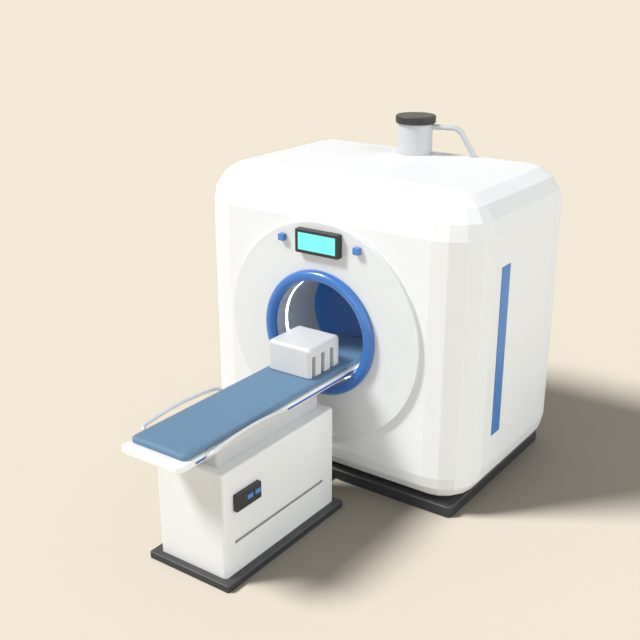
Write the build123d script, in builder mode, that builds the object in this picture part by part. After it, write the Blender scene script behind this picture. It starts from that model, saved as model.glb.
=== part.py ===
"""A hospital MRI scanner: a faceted gantry round its magnet, and a table whose top slides into the bore.

Millimetres, +Z up. The origin is the floor point below the isocentre. The gantry's front faces -Y.
"""

import os
from math import acos, cos, pi, radians, sin, sqrt, tan

from build123d import *

os.makedirs("parts", exist_ok=True)

# Values that several pieces share
overrun = 20.0  # how far a cut passes the face that it opens
seat_gap = 0.3  # gap where a piece rests on a soft or curved seat
fit_gap = 0.1  # radial running clearance of shafts and stems
facets = 4  # flat facets round each soft edge of the gantry
facet_turn = 90 / facets

# Bore
bore_height = 1100.0
bore_radius = 350.0
bore_wall = 8.0
entry_length = 428.0
light_inset = 89.0
light_width = 25.0
light_depth = 4.0
runner_offset = 120.0
runner_width = 24.0
runner_margin = 50.0
runner_gap = 0.5

# Magnet and coils
coil_space = 104.0  # from the bore tube out to the vessel
vessel_radius = 880.0
vessel_length = 1280.0
vessel_edge = 60.0
neck_radius = 90.0
neck_sink = 55.0
port_radius = 40.0
port_rise = 80.0
gradient_wall = 76.0
gradient_margin = 20.0
body_coil_wall = 14.0
body_coil_length = 600.0
coil_windows = 12
window_share = 0.62
window_length = 460.0
saddle_offset = 450.0
saddle_width = 200.0
saddle_length = 900.0

# Gantry covers, which stand clear of the magnet all round
vessel_side_clearance = 170.0
vessel_top_clearance = 115.0
vessel_end_clearance = 110.0
corner_radius = 280.0
top_radius = 262.0
foot_radius = 205.0
cover_wall = 12.0
cover_seam = 0.6
front_cover_depth = 330.0
rear_cover_depth = 330.0
side_cover_reach = 292.0
floor_lip = 60.0
cover_hole_gap = 3.0

# Plinth under the gantry
plinth_side_inset = 95.0
plinth_end_inset = 65.0
plinth_height = 75.0
plinth_corner = 30.0
plinth_chamfer = 5.0

# Bezels and the ring round the bore
bezel_radius = 731.0
bezel_depth = 30.0
bezel_edge = 3.0
bezel_overlap = 40.0
ring_tube_radius = 36.5
ring_stand_out = 16.0
rear_bezel_radius = 560.0
rear_bezel_depth = 25.0

# Turret and helium pipe on top
turret_inset = 270.0
turret_radius = 120.0
turret_rise = 210.0
cap_radius = 140.0
cap_height = 55.0
cap_chamfer = 7.0
nipple_radius = 20.0
nipple_reach = 138.0
nipple_gap = 1.0
pipe_radius = 18.0
pipe_heading = 13.6  # how far the pipe's run is turned to the rear, in degrees
pipe_slant = 58.8
pipe_turn_reach = 312.0
pipe_drop_reach = 460.0
pipe_bend = 90.0
grommet_wall = 3.0
grommet_flange = 4.0
grommet_flange_height = 2.0

# Stripes on the gantry's sides
stripe_width = 115.0
stripe_length = 1135.0
stripe_drop = 45.5
stripe_set_back = 452.0
stripe_thickness = 4.0
stripe_chamfer = 1.0

# Display and push buttons on the bezel
display_width = 332.0
display_height = 156.0
display_depth = 42.0
display_rise = 605.0
display_corner = 10.0
display_edge = 5.0
screen_width = 285.0
screen_height = 112.0
screen_thickness = 6.0
screen_sink = 1.0
screen_gap = 0.3
button_offset = 287.0
button_rise = 600.0
button_size = 46.0
button_depth = 28.0
button_corner = 6.0
button_edge = 3.0
button_stand_off = 5.0
button_stem_radius = 12.0
button_head_radius = 18.0
button_head_depth = 6.0

# Table floor plate and pedestal
dock_length = 270.0
dock_width = 80.0
dock_height = 40.0
plate_width = 618.0
plate_length = 1150.0
plate_thickness = 45.0
plate_corner = 10.0
plate_chamfer = 4.0
pedestal_width = 510.0
front_toe = 45.0
rear_toe = 35.0
pedestal_wall = 20.0
pedestal_corner = 22.0
pedestal_edge = 14.0
groove_front_margin = 88.0
groove_back_margin = 124.0
groove_rise = 203.0
groove_height = 20.0
groove_depth = 12.0
groove_corner = 4.0
column_width = 220.0
column_length = 520.0
column_wall = 12.0

# Carriage under the tabletop
carriage_depth = 132.0
carriage_width = 344.0
carriage_margin = 55.0
carriage_wall = 12.0
carriage_floor = 15.0
carriage_clear = 4.0
carriage_corner = 16.0
carriage_edge = 5.0

# Tabletop and what it carries
tabletop_drop = 253.0
tabletop_width = 450.0
tabletop_length = 2100.0
tabletop_entry = 523.0
tabletop_thickness = 38.0
tabletop_corner = 42.0
tabletop_top_edge = 10.0
tabletop_foot_edge = 5.0
mattress_width = 424.0
mattress_front_margin = 60.0
mattress_back_margin = 43.0
mattress_thickness = 40.0
mattress_corner = 36.0
mattress_edge = 15.0
strip_front_margin = 126.0
strip_back_margin = 43.0
strip_rise = 9.0
strip_height = 14.0
strip_thickness = 2.0
rail_margin = 201.0
rail_length = 696.0
rail_offset = 268.0
rail_rise = 15.0
rail_bow = 22.0
rail_tube_radius = 12.5
rail_lead = 50.0
rail_foot_inset = 19.0
rail_plate_height = 26.0
rail_plate_thickness = 5.0
rail_foot_rise = 21.0

# Head coil that rests on the mattress
coil_gap = 10.0
coil_width = 328.0
coil_length = 330.0
coil_height = 200.0
coil_edge = 26.0
coil_foot_edge = 6.0
slot_width = 38.0
slot_height = 141.0
slot_depth = 55.0
slot_spacing = 96.0
slot_lead = 24.0

# Control panel on the pedestal
panel_set_back = 193.0
panel_drop = 210.0
panel_length = 220.0
panel_height = 106.0
panel_thickness = 27.0
panel_corner = 7.0
panel_edge = 3.0
key_width = 47.0
key_height = 26.0
key_rise = 4.5
key_lead = 5.0
key_spacing = 70.0
key_stand_out = 6.0
key_edge = 2.0
key_gap = 0.4
key_flange = 3.0
key_flange_depth = 3.0
key_shoulder = 16.0

# Tabletop drive: rack, pinion, motor and rollers
gear_module = 5.0
dedendum_share = 1.25
pinion_teeth = 16
pressure_angle = 25.0
backlash = 0.35
gear_width = 24.0
rack_back_margin = 553.0
rack_length = 1375.0
rack_spine = 8.0
rack_passage = 4.0
pinion_margin = 145.0
shaft_radius = 10.0
shaft_end = 58.0
bearing_length = 28.0
bearing_start = -58.0
bearing_width = 70.0
gearbox_start = 26.0
gearbox_width = 90.0
gearbox_length = 110.0
gearbox_gap = 12.0
motor_radius = 38.0
motor_length = 170.0
roller_radius = 30.0
roller_width = 30.0
roller_offset = 125.0
axle_radius = 8.0
axle_engagement = 6.0
front_roller_margin = 65.0
rear_roller_margin = 47.0

# Gantry places that follow from the sizes above
gantry_width = 2 * (vessel_radius + vessel_side_clearance)
gantry_depth = vessel_length + 2 * vessel_end_clearance
gantry_height = bore_height + vessel_radius + vessel_top_clearance
plinth_width = gantry_width - 2 * plinth_side_inset
plinth_depth = gantry_depth - 2 * plinth_end_inset
front_face = -gantry_depth / 2
rear_face = gantry_depth / 2
bezel_face = front_face - bezel_depth
front_hole_radius = bezel_radius - bezel_overlap
rear_hole_radius = rear_bezel_radius - bezel_overlap
liner_outer = bore_radius + bore_wall
liner_seam = bezel_face + entry_length
vessel_bore_radius = liner_outer + coil_space
neck_top = gantry_height - neck_sink
turret_top = gantry_height + turret_rise
pipe_height = turret_top - nipple_radius - nipple_gap
turret_back = vessel_length / 2 - turret_inset
pipe_drop_top = pipe_height - (pipe_drop_reach - pipe_turn_reach) * tan(radians(pipe_slant))
pipe_run = Vector(cos(radians(pipe_heading)), sin(radians(pipe_heading)), 0)
port_place = Vector(0, turret_back, 0) + pipe_run * pipe_drop_reach
port_top = bore_height + sqrt(vessel_radius**2 - port_place.X**2) + port_rise
pipe_start = Plane(origin=(0, turret_back, pipe_height), x_dir=(0, 0, 1), z_dir=pipe_run)
stripe_middle = (front_face + stripe_set_back, bore_height - stripe_drop)
display_middle = bore_height + display_rise
button_middle = bore_height + button_rise
bore_axis = Axis((0, 0, bore_height), (0, 1, 0))

# Table places that follow from the sizes above
plate_back = -plinth_depth / 2 - dock_length
plate_front = plate_back - plate_length
pedestal_front = plate_front + front_toe
pedestal_back = plate_back - rear_toe
pedestal_length = pedestal_back - pedestal_front
pedestal_mid = (pedestal_front + pedestal_back) / 2
pedestal_side = pedestal_width / 2
tabletop_bottom = bore_height - tabletop_drop
tabletop_top = tabletop_bottom + tabletop_thickness
tabletop_back = bezel_face + tabletop_entry
tabletop_front = tabletop_back - tabletop_length
tabletop_side = tabletop_width / 2
pedestal_top = tabletop_bottom - carriage_depth
groove_front = pedestal_front + groove_front_margin
groove_back = pedestal_back - groove_back_margin
groove_middle = plate_thickness + groove_rise
carriage_front = pedestal_front + carriage_margin
carriage_back = pedestal_back - carriage_margin
carriage_inner_floor = pedestal_top + carriage_floor
mattress_front = tabletop_front + mattress_front_margin
mattress_back = tabletop_back - mattress_back_margin
mattress_bottom = tabletop_top + seat_gap
mattress_top = mattress_bottom + mattress_thickness
strip_front = tabletop_front + strip_front_margin
strip_back = tabletop_back - strip_back_margin
rail_front = tabletop_front + rail_margin
rail_back = rail_front + rail_length
rail_height = tabletop_top + rail_rise
rail_foot_height = tabletop_bottom + rail_foot_rise
coil_back = bezel_face - coil_gap
coil_mid = coil_back - coil_length / 2
panel_middle = (pedestal_front + panel_set_back, pedestal_top - panel_drop)

# Drive places that follow from the sizes above
pitch_radius = gear_module * pinion_teeth / 2
tooth_pitch = pi * gear_module
addendum = gear_module
dedendum = dedendum_share * gear_module
pitch_height = tabletop_bottom - rack_spine - dedendum
pinion_height = pitch_height - pitch_radius
pinion_y = carriage_back - pinion_margin
rack_root = pitch_height + dedendum
rack_tip = pitch_height - addendum
rack_back = tabletop_back - rack_back_margin
rack_front = rack_back - rack_length
front_roller_y = carriage_front + front_roller_margin
rear_roller_y = carriage_back - rear_roller_margin


def save(piece, name):
    """Label a finished piece and write it."""
    piece.part.label = name
    export_step(piece.part, f"parts/{name}.step")


def facing_plane(y, x=0, z=0):
    """A plane across the bore at y: its own x is +X, its own y is +Z and it faces -Y."""
    return Plane(origin=(x, y, z), x_dir=(1, 0, 0), z_dir=(0, -1, 0))


def side_plane(x, y=0, z=0):
    """A plane facing +X: its own x is +Y and its own y is +Z."""
    return Plane(origin=(x, y, z), x_dir=(0, 1, 0), z_dir=(1, 0, 0))


def faceted_outline(half_x, half_y, radius):
    """Points of a rectangle whose round corners are broken into flat facets."""
    points = []
    for sign_x, sign_y, start in ((1, 1, 0), (-1, 1, 90), (-1, -1, 180), (1, -1, 270)):
        for step in range(facets + 1):
            angle = radians(start + facet_turn * step)
            x = sign_x * (half_x - radius) + radius * cos(angle)
            y = sign_y * (half_y - radius) + radius * sin(angle)
            points.append((x, y))
    return points


def housing_form(inset):
    """The gantry's closed form, drawn in all round by inset: one faceted outline per height, lofted straight."""
    foot = foot_radius - inset
    top = top_radius - inset
    levels = []
    for step in range(facets + 1):
        angle = radians(facet_turn * step)
        levels.append((plinth_height + inset + foot * (1 - cos(angle)), foot * (1 - sin(angle))))
    for step in range(facets + 1):
        angle = radians(90 - facet_turn * step)
        levels.append((gantry_height - inset - top * (1 - cos(angle)), top * (1 - sin(angle))))
    with BuildPart() as form:
        for height, draw_in in levels:
            in_total = inset + draw_in
            outline = faceted_outline(
                gantry_width / 2 - in_total, gantry_depth / 2 - in_total, corner_radius - in_total
            )
            with BuildSketch(Plane.XY.offset(height)):
                with BuildLine():
                    Polyline(*outline, close=True)
                make_face()
        loft(ruled=True)
    return form.part


def tube_about_bore(inner, outer, start, end):
    """A plain tube round the bore axis from y = start to y = end."""
    with BuildPart() as tube:
        with BuildSketch(facing_plane(end, 0, bore_height)):
            Circle(outer)
            Circle(inner, mode=Mode.SUBTRACT)
        extrude(amount=end - start)
    return tube.part


def over_turret(reach, height):
    """A point on the pipe's run, at a reach from the turret's axis."""
    return Vector(0, turret_back, height) + pipe_run * reach


def along_pipe(radius):
    """A round bar along the helium pipe's route: level, down at a slant, then upright to the vessel's port."""
    with BuildPart() as bar:
        with BuildLine() as route:
            FilletPolyline(
                over_turret(nipple_reach, pipe_height),
                over_turret(pipe_turn_reach, pipe_height),
                over_turret(pipe_drop_reach, pipe_drop_top),
                over_turret(pipe_drop_reach, port_top),
                radius=pipe_bend,
            )
        with BuildSketch(pipe_start.offset(nipple_reach)):
            Circle(radius)
        sweep(path=route.line)
    return bar.part


def pipe_slice(radius, bottom, top):
    """The part of such a bar between two heights."""
    with BuildPart() as piece:
        add(along_pipe(radius))
        split(bisect_by=Plane.XY.offset(bottom), keep=Keep.TOP)
        split(bisect_by=Plane.XY.offset(top), keep=Keep.BOTTOM)
    return piece.part


# Gantry plinth
with BuildPart() as gantry_plinth:
    with BuildSketch():
        RectangleRounded(plinth_width, plinth_depth, plinth_corner)
    extrude(amount=plinth_height)
    chamfer(gantry_plinth.faces().sort_by(Axis.Z)[-1].edges(), plinth_chamfer)
save(gantry_plinth, "gantry_plinth")

# Gantry covers: one faceted shell with its openings, then parted along the seams
outer_form = housing_form(0)
inner_form = housing_form(cover_wall)
lip_half_x = gantry_width / 2 - foot_radius - floor_lip
lip_half_y = gantry_depth / 2 - foot_radius - floor_lip
with BuildPart() as cover_shell:
    add(outer_form)
    add(inner_form, mode=Mode.SUBTRACT)
    with BuildSketch(Plane.XY.offset(plinth_height - overrun)):
        Rectangle(2 * lip_half_x, 2 * lip_half_y)
    extrude(amount=cover_wall + 2 * overrun, mode=Mode.SUBTRACT)
    with BuildSketch(facing_plane(front_face + cover_wall + overrun, 0, bore_height)):
        Circle(front_hole_radius)
    extrude(amount=cover_wall + 2 * overrun, mode=Mode.SUBTRACT)
    with BuildSketch(facing_plane(rear_face + overrun, 0, bore_height)):
        Circle(rear_hole_radius)
    extrude(amount=cover_wall + 2 * overrun, mode=Mode.SUBTRACT)
    with BuildSketch(Plane.XY.offset(gantry_height - cover_wall - overrun)):
        with Locations((0, turret_back)):
            Circle(turret_radius + cover_hole_gap)
    extrude(amount=cover_wall + 2 * overrun, mode=Mode.SUBTRACT)
    add(along_pipe(pipe_radius + grommet_wall + seat_gap), mode=Mode.SUBTRACT)

front_seam = front_face + front_cover_depth
rear_seam = rear_face - rear_cover_depth
half_seam = cover_seam / 2
side_seam = gantry_width / 2 - side_cover_reach

with BuildPart() as front_cover:
    add(cover_shell.part)
    split(bisect_by=Plane(origin=(0, front_seam - half_seam, 0), z_dir=(0, 1, 0)), keep=Keep.BOTTOM)
save(front_cover, "front_cover")

with BuildPart() as rear_cover:
    add(cover_shell.part)
    split(bisect_by=Plane(origin=(0, rear_seam + half_seam, 0), z_dir=(0, 1, 0)), keep=Keep.TOP)
save(rear_cover, "rear_cover")

with BuildPart() as middle_shell:
    add(cover_shell.part)
    split(bisect_by=Plane(origin=(0, front_seam + half_seam, 0), z_dir=(0, 1, 0)), keep=Keep.TOP)
    split(bisect_by=Plane(origin=(0, rear_seam - half_seam, 0), z_dir=(0, 1, 0)), keep=Keep.BOTTOM)

with BuildPart() as top_cover:
    add(middle_shell.part)
    split(bisect_by=Plane(origin=(side_seam - half_seam, 0, 0), z_dir=(1, 0, 0)), keep=Keep.BOTTOM)
    split(bisect_by=Plane(origin=(half_seam - side_seam, 0, 0), z_dir=(1, 0, 0)), keep=Keep.TOP)
save(top_cover, "top_cover")

with BuildPart() as right_cover:
    add(middle_shell.part)
    split(bisect_by=Plane(origin=(side_seam + half_seam, 0, 0), z_dir=(1, 0, 0)), keep=Keep.TOP)
save(right_cover, "right_cover")

with BuildPart() as left_cover:
    add(middle_shell.part)
    split(bisect_by=Plane(origin=(-side_seam - half_seam, 0, 0), z_dir=(1, 0, 0)), keep=Keep.BOTTOM)
save(left_cover, "left_cover")

# Stripes let on to the two side faces
for side_name, side in (("right", 1), ("left", -1)):
    stripe_outer = gantry_width / 2 + stripe_thickness
    with BuildPart() as side_stripe:
        with BuildSketch(side_plane(side * gantry_width / 2, *stripe_middle)):
            Rectangle(stripe_width, stripe_length)
        extrude(amount=side * stripe_thickness)
        outer_face = side_stripe.faces().filter_by(lambda f, x=side * stripe_outer: abs(f.center().X - x) < seat_gap)
        chamfer(outer_face.edges(), stripe_chamfer)
    save(side_stripe, f"side_stripe_{side_name}")

# Front bezel: the raised disc on the front cover, with the holes that guide the two buttons
with BuildPart() as front_bezel:
    with BuildSketch(facing_plane(front_face, 0, bore_height)):
        Circle(bezel_radius)
        Circle(liner_outer + seat_gap, mode=Mode.SUBTRACT)
        with Locations((button_offset, button_rise), (-button_offset, button_rise)):
            Circle(button_stem_radius + fit_gap, mode=Mode.SUBTRACT)
    extrude(amount=bezel_depth)
    rim_edge = front_bezel.faces().sort_by(Axis.Y)[0].edges().sort_by(SortBy.RADIUS)[-1]
    fillet(rim_edge, bezel_edge)
save(front_bezel, "front_bezel")

# Bore ring: a round tube section with a flat back that sits on the bezel
ring_middle = bore_radius + ring_tube_radius
with BuildPart() as bore_ring:
    with BuildSketch(Plane.YZ):
        with Locations((bezel_face - ring_stand_out, bore_height + ring_middle)):
            Circle(ring_tube_radius)
        with Locations((bezel_face, bore_height + ring_middle)):
            Rectangle(
                2 * ring_tube_radius, 2 * ring_tube_radius + overrun, align=(Align.MIN, Align.CENTER), mode=Mode.SUBTRACT
            )
    revolve(axis=bore_axis)
save(bore_ring, "bore_ring")

# Entry liner with the groove for the light ring
light_start = bezel_face + light_inset
liner_tube = tube_about_bore(bore_radius, liner_outer, bezel_face, liner_seam)
light_groove = tube_about_bore(bore_radius - light_depth, bore_radius + light_depth, light_start, light_start + light_width)
with BuildPart() as entry_liner:
    add(liner_tube)
    add(light_groove, mode=Mode.SUBTRACT)
save(entry_liner, "entry_liner")

with BuildPart() as light_ring:
    add(
        tube_about_bore(
            bore_radius,
            bore_radius + light_depth - seat_gap,
            light_start + seat_gap,
            light_start + light_width - seat_gap,
        )
    )
save(light_ring, "light_ring")

# Bore tube from the entry liner to the rear bezel
with BuildPart() as bore_tube:
    add(tube_about_bore(bore_radius, liner_outer, liner_seam, rear_face + rear_bezel_depth))
save(bore_tube, "bore_tube")

with BuildPart() as rear_bezel:
    with BuildSketch(facing_plane(rear_face + rear_bezel_depth, 0, bore_height)):
        Circle(rear_bezel_radius)
        Circle(liner_outer + seat_gap, mode=Mode.SUBTRACT)
    extrude(amount=rear_bezel_depth)
    rear_rim = rear_bezel.faces().sort_by(Axis.Y)[-1].edges().sort_by(SortBy.RADIUS)[-1]
    fillet(rear_rim, bezel_edge)
save(rear_bezel, "rear_bezel")

# Runners in the bore that carry the tabletop's inner end
runner_length = gantry_depth - 2 * runner_margin
runner_top = tabletop_bottom - runner_gap
for side_name, side in (("right", 1), ("left", -1)):
    with BuildPart() as bore_runner:
        with BuildSketch(facing_plane(runner_length / 2, 0, bore_height)):
            with Locations((side * runner_offset, runner_top - bore_height)):
                Rectangle(runner_width, bore_radius, align=(Align.CENTER, Align.MAX))
            Circle(bore_radius - seat_gap, mode=Mode.INTERSECT)
        extrude(amount=runner_length)
    save(bore_runner, f"bore_runner_{side_name}")

# Magnet vessel: a ring-shaped drum with the turret neck and the pipe port on top
with BuildPart() as magnet_vessel:
    with BuildSketch(facing_plane(vessel_length / 2, 0, bore_height)):
        Circle(vessel_radius)
    extrude(amount=vessel_length)
    fillet(magnet_vessel.edges().filter_by(GeomType.CIRCLE), vessel_edge)
    with BuildSketch(Plane.XY.offset(bore_height)):
        with Locations((0, turret_back)):
            Circle(neck_radius)
    extrude(amount=neck_top - bore_height)
    with BuildSketch(Plane.XY.offset(bore_height)):
        with Locations((port_place.X, port_place.Y)):
            Circle(port_radius)
    extrude(amount=port_top - bore_height)
    with BuildSketch(facing_plane(vessel_length / 2 + overrun, 0, bore_height)):
        Circle(vessel_bore_radius)
    extrude(amount=vessel_length + 2 * overrun, mode=Mode.SUBTRACT)
save(magnet_vessel, "magnet_vessel")

# Gradient coil inside the vessel's bore
gradient_outer = vessel_bore_radius - seat_gap
gradient_length = vessel_length - 2 * gradient_margin
with BuildPart() as gradient_coil:
    add(tube_about_bore(gradient_outer - gradient_wall, gradient_outer, -gradient_length / 2, gradient_length / 2))
save(gradient_coil, "gradient_coil")

# Body coil: a former with one window between each pair of rungs
body_coil_inner = liner_outer + seat_gap
window_turn = 360 / coil_windows
window_width = 2 * body_coil_inner * sin(radians(window_turn / 2)) * window_share
body_coil_tube = tube_about_bore(
    body_coil_inner, body_coil_inner + body_coil_wall, -body_coil_length / 2, body_coil_length / 2
)
with BuildPart() as body_coil:
    add(body_coil_tube)
    with BuildSketch(Plane.XY.offset(bore_height)) as window:
        Rectangle(window_width, window_length)
    window_blade = extrude(window.sketch, amount=liner_outer + body_coil_wall + overrun, mode=Mode.PRIVATE)
    for turn in range(coil_windows):
        add(window_blade.rotate(bore_axis, window_turn * turn), mode=Mode.SUBTRACT)
save(body_coil, "body_coil")

# Saddles that carry the vessel on the plinth
for side_name, side in (("right", 1), ("left", -1)):
    with BuildPart() as saddle:
        with BuildSketch(facing_plane(saddle_length / 2)):
            with Locations((side * saddle_offset, plinth_height)):
                Rectangle(saddle_width, bore_height - plinth_height, align=(Align.CENTER, Align.MIN))
            with Locations((0, bore_height)):
                Circle(vessel_radius + seat_gap, mode=Mode.SUBTRACT)
        extrude(amount=saddle_length)
    save(saddle, f"vessel_saddle_{side_name}")

# Turret on the vessel's neck, with a nipple for the pipe
with BuildPart() as turret:
    with BuildSketch(Plane.XY.offset(neck_top)):
        with Locations((0, turret_back)):
            Circle(turret_radius)
    extrude(amount=turret_top - neck_top)
    with BuildSketch(pipe_start):
        Circle(nipple_radius)
    extrude(amount=nipple_reach)
save(turret, "turret")

with BuildPart() as turret_cap:
    with BuildSketch(Plane.XY.offset(turret_top)):
        with Locations((0, turret_back)):
            Circle(cap_radius)
    extrude(amount=cap_height)
    chamfer(turret_cap.edges().filter_by(GeomType.CIRCLE), cap_chamfer)
save(turret_cap, "turret_cap")

# Helium pipe: out of the turret, down at a slant through the rear cover and on to the vessel's port
with BuildPart() as helium_pipe:
    add(along_pipe(pipe_radius))
save(helium_pipe, "helium_pipe")

# Grommet in the rear cover: a sleeve round the pipe with a thin flange on the cover
sleeve_radius = pipe_radius + grommet_wall
flange_top = gantry_height + grommet_flange_height
with BuildPart() as pipe_grommet:
    add(pipe_slice(sleeve_radius, gantry_height - cover_wall, flange_top))
    add(pipe_slice(sleeve_radius + grommet_flange, gantry_height, flange_top))
    add(along_pipe(pipe_radius + seat_gap), mode=Mode.SUBTRACT)
save(pipe_grommet, "pipe_grommet")

# Display housing on the bezel, with a pocket for the screen
pocket_depth = screen_thickness + screen_sink
with BuildPart() as display_housing:
    with BuildSketch(facing_plane(bezel_face, 0, display_middle)):
        RectangleRounded(display_width, display_height, display_corner)
    extrude(amount=display_depth)
    fillet(display_housing.faces().sort_by(Axis.Y)[0].edges(), display_edge)
    with BuildSketch(facing_plane(bezel_face - display_depth + pocket_depth, 0, display_middle)):
        Rectangle(screen_width + 2 * screen_gap, screen_height + 2 * screen_gap)
    extrude(amount=pocket_depth + overrun, mode=Mode.SUBTRACT)
save(display_housing, "display_housing")

with BuildPart() as display_screen:
    with BuildSketch(facing_plane(bezel_face - display_depth + pocket_depth, 0, display_middle)):
        Rectangle(screen_width, screen_height)
    extrude(amount=screen_thickness)
save(display_screen, "display_screen")

# Push buttons: a square cap, a stem through the bezel and a head that holds it from behind
for side_name, side in (("right", 1), ("left", -1)):
    cap_back = bezel_face - button_stand_off
    with BuildPart() as button:
        with BuildSketch(facing_plane(cap_back, side * button_offset, button_middle)):
            RectangleRounded(button_size, button_size, button_corner)
        extrude(amount=button_depth)
        fillet(button.faces().sort_by(Axis.Y)[0].edges(), button_edge)
        with BuildSketch(facing_plane(front_face + seat_gap, side * button_offset, button_middle)):
            Circle(button_stem_radius)
        extrude(amount=bezel_depth + button_stand_off + seat_gap)
        with BuildSketch(facing_plane(front_face + seat_gap + button_head_depth, side * button_offset, button_middle)):
            Circle(button_head_radius)
        extrude(amount=button_head_depth)
    save(button, f"gantry_button_{side_name}")

# Table floor plate and the docking beam to the gantry's plinth
with BuildPart() as table_plate:
    with BuildSketch():
        with Locations((0, (plate_front + plate_back) / 2)):
            RectangleRounded(plate_width, plate_length, plate_corner)
    extrude(amount=plate_thickness)
    chamfer(table_plate.faces().sort_by(Axis.Z)[-1].edges(), plate_chamfer)
save(table_plate, "table_plate")

with BuildPart() as docking_beam:
    with BuildSketch():
        with Locations((0, plate_back)):
            Rectangle(dock_width, dock_length, align=(Align.CENTER, Align.MIN))
    extrude(amount=dock_height)
    chamfer(docking_beam.faces().sort_by(Axis.Z)[-1].edges().filter_by(Axis.Y), plate_chamfer)
save(docking_beam, "docking_beam")

# Pedestal cover: a moulded box, open below, with a long groove in each side
with BuildPart() as pedestal_cover:
    with BuildSketch(Plane.XY.offset(plate_thickness)):
        with Locations((0, pedestal_mid)):
            RectangleRounded(pedestal_width, pedestal_length, pedestal_corner)
    extrude(amount=pedestal_top - plate_thickness)
    fillet(pedestal_cover.faces().sort_by(Axis.Z)[-1].edges(), pedestal_edge)
    with BuildSketch(Plane.XY.offset(plate_thickness - overrun)):
        with Locations((0, pedestal_mid)):
            Rectangle(pedestal_width - 2 * pedestal_wall, pedestal_length - 2 * pedestal_wall)
    extrude(amount=pedestal_top - plate_thickness - pedestal_wall + overrun, mode=Mode.SUBTRACT)
    for side in (1, -1):
        with BuildSketch(side_plane(side * (pedestal_side - groove_depth), (groove_front + groove_back) / 2, groove_middle)):
            RectangleRounded(groove_back - groove_front, groove_height, groove_corner)
        extrude(amount=side * (groove_depth + overrun), mode=Mode.SUBTRACT)
save(pedestal_cover, "pedestal_cover")

# Support column inside the pedestal
with BuildPart() as support_column:
    with BuildSketch(Plane.XY.offset(plate_thickness)):
        with Locations((0, pedestal_mid)):
            Rectangle(column_width, column_length)
            Rectangle(column_width - 2 * column_wall, column_length - 2 * column_wall, mode=Mode.SUBTRACT)
    extrude(amount=pedestal_top - pedestal_wall - plate_thickness)
save(support_column, "support_column")

# Carriage: an open trough with blind pockets for the roller axles and a passage for the rack in each end
carriage_length = carriage_back - carriage_front
carriage_mid = (carriage_front + carriage_back) / 2
carriage_top = tabletop_bottom - carriage_clear
roller_height = tabletop_bottom - seat_gap - roller_radius
trough_half = carriage_width / 2 - carriage_wall
with BuildPart() as carriage:
    with BuildSketch(Plane.XY.offset(pedestal_top)):
        with Locations((0, carriage_mid)):
            RectangleRounded(carriage_width, carriage_length, carriage_corner)
    extrude(amount=carriage_top - pedestal_top)
    fillet(carriage.faces().sort_by(Axis.Z)[0].edges(), carriage_edge)
    with BuildSketch(Plane.XY.offset(carriage_inner_floor)):
        with Locations((0, carriage_mid)):
            Rectangle(2 * trough_half, carriage_length - 2 * carriage_wall)
    extrude(amount=carriage_top - pedestal_top, mode=Mode.SUBTRACT)
    for roller_y in (front_roller_y, rear_roller_y):
        with BuildSketch(side_plane(-trough_half - axle_engagement - seat_gap, roller_y, roller_height)):
            Circle(axle_radius + fit_gap)
        extrude(amount=2 * (trough_half + axle_engagement + seat_gap), mode=Mode.SUBTRACT)
    with BuildSketch(facing_plane(carriage_back + overrun, 0, rack_tip - rack_passage)):
        Rectangle(gear_width + 2 * rack_passage, carriage_top - pedestal_top, align=(Align.CENTER, Align.MIN))
    extrude(amount=carriage_length + 2 * overrun, mode=Mode.SUBTRACT)
save(carriage, "carriage")

# Roller axles that carry the tabletop over the carriage
for end_name, roller_y in (("front", front_roller_y), ("rear", rear_roller_y)):
    with BuildPart() as roller_axle:
        with BuildSketch(side_plane(-trough_half - axle_engagement, roller_y, roller_height)):
            Circle(axle_radius)
        extrude(amount=2 * (trough_half + axle_engagement))
        for side in (1, -1):
            with BuildSketch(side_plane(side * roller_offset - roller_width / 2, roller_y, roller_height)):
                Circle(roller_radius)
            extrude(amount=roller_width)
    save(roller_axle, f"roller_axle_{end_name}")

# Drive pinion: involute teeth on a shaft, one tooth pointing up at rest
pressure = radians(pressure_angle)
base_radius = pitch_radius * cos(pressure)
tip_radius = pitch_radius + addendum
root_radius = pitch_radius - dedendum
flank_points = 5
half_tooth = (tooth_pitch / 2 - backlash) / 2 / pitch_radius


def roll_off(radius):
    """Angle by which the involute at this radius has turned from its start on the base circle."""
    slant = acos(base_radius / radius)
    return tan(slant) - slant


flank = []
for step in range(flank_points):
    radius = base_radius + (tip_radius - base_radius) * step / (flank_points - 1)
    turn = half_tooth + roll_off(pitch_radius) - roll_off(radius)
    flank.append((radius, turn))
root_turn = flank[0][1]

with BuildPart() as drive_pinion:
    with BuildSketch(side_plane(-gear_width / 2, pinion_y, pinion_height)):
        Circle(root_radius)
        for tooth in range(pinion_teeth):
            middle = pi / 2 + 2 * pi * tooth / pinion_teeth
            left = [(r * cos(middle + t), r * sin(middle + t)) for r, t in flank]
            right = [(r * cos(middle - t), r * sin(middle - t)) for r, t in flank]
            inner = root_radius * cos(root_turn) - backlash
            foot_left = (inner * cos(middle + root_turn), inner * sin(middle + root_turn))
            foot_right = (inner * cos(middle - root_turn), inner * sin(middle - root_turn))
            with BuildLine():
                Polyline(foot_right, *right, *reversed(left), foot_left, close=True)
            make_face()
    extrude(amount=gear_width)
    with BuildSketch(side_plane(-shaft_end, pinion_y, pinion_height)):
        Circle(shaft_radius)
    extrude(amount=2 * shaft_end)
save(drive_pinion, "drive_pinion")

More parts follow.
